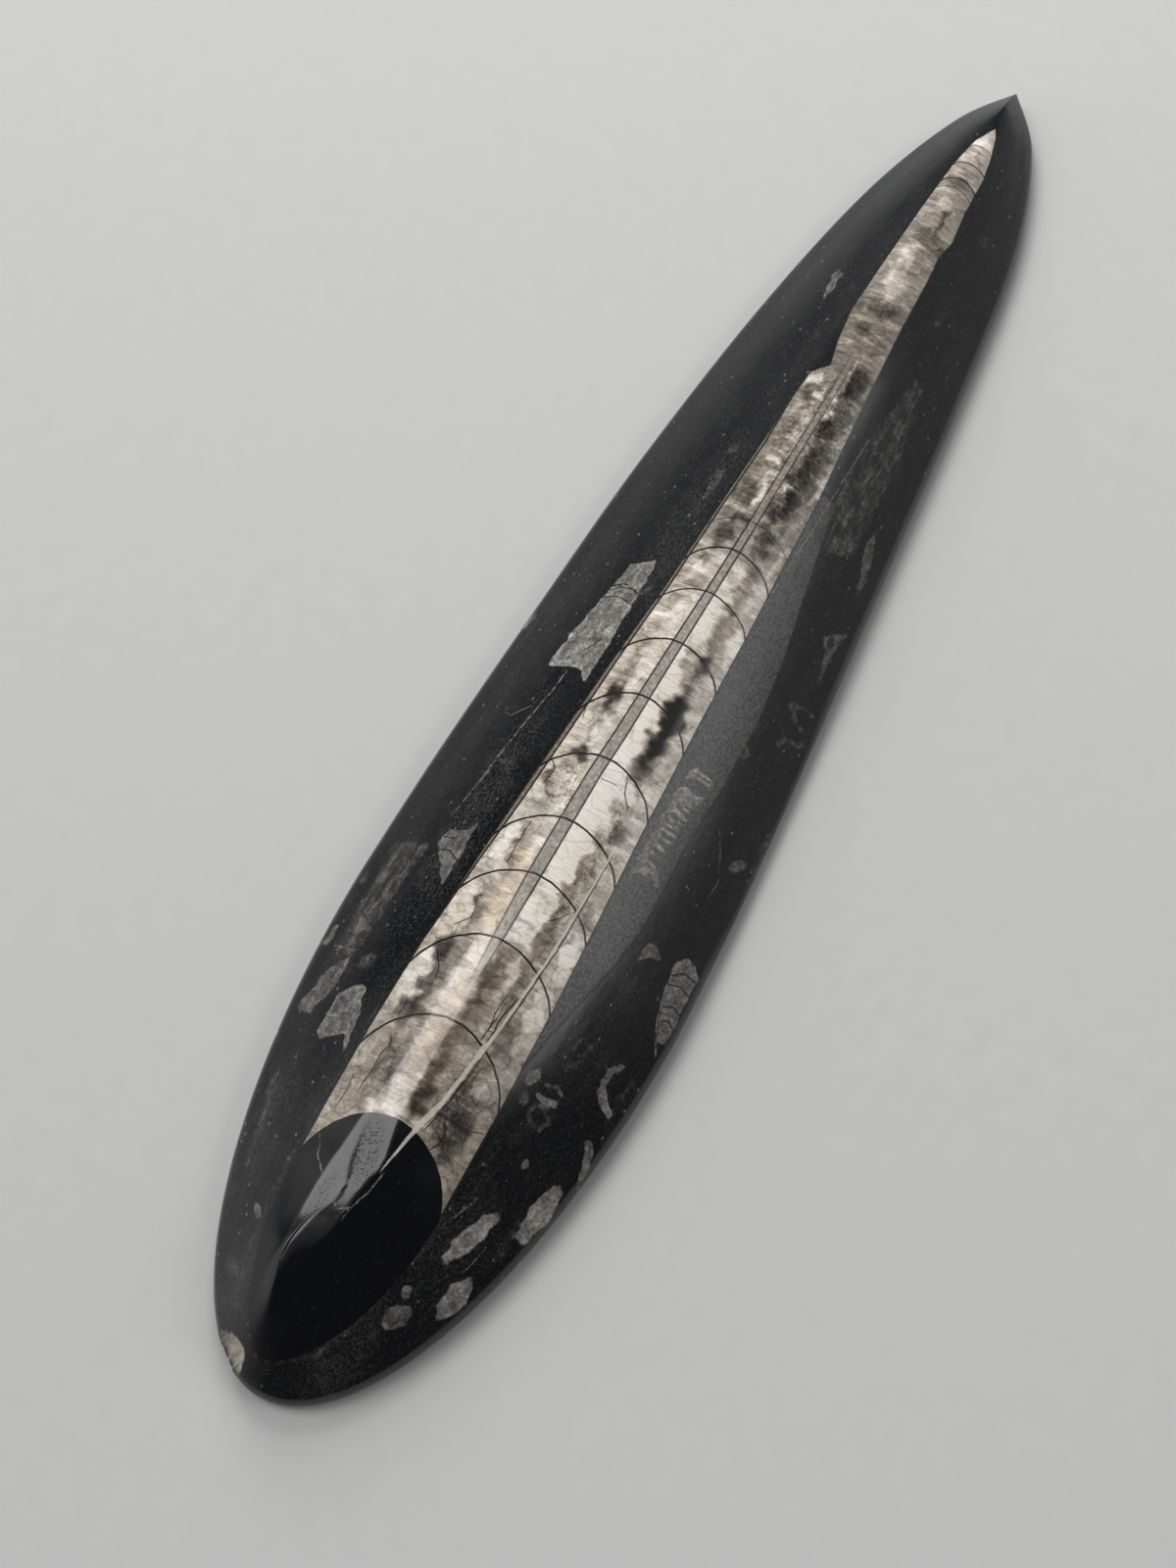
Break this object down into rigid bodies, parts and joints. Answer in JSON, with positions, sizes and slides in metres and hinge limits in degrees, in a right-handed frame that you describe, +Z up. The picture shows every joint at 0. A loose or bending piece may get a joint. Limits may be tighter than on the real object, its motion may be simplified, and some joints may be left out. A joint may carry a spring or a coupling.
{
  "type": "orthoceras fossil",
  "caption": "Polished black limestone slab, leaf-shaped, flat under, with a long chambered straight shell showing along its ridge.",
  "frame": {"origin": "centre of the outline's bounding box, on the flat base", "axes": "+X along the stone towards its pointed end, +Y towards the chipped side of the blunt end, +Z up from the flat base"},
  "size_m": [0.25, 0.0538, 0.018],
  "materials": {
    "polished_stone": "polished black limestone with cream calcite fossil"
  },
  "bodies": {
    "root": {"polished_stone": "polished_stone"}
  },
  "joints": []
}
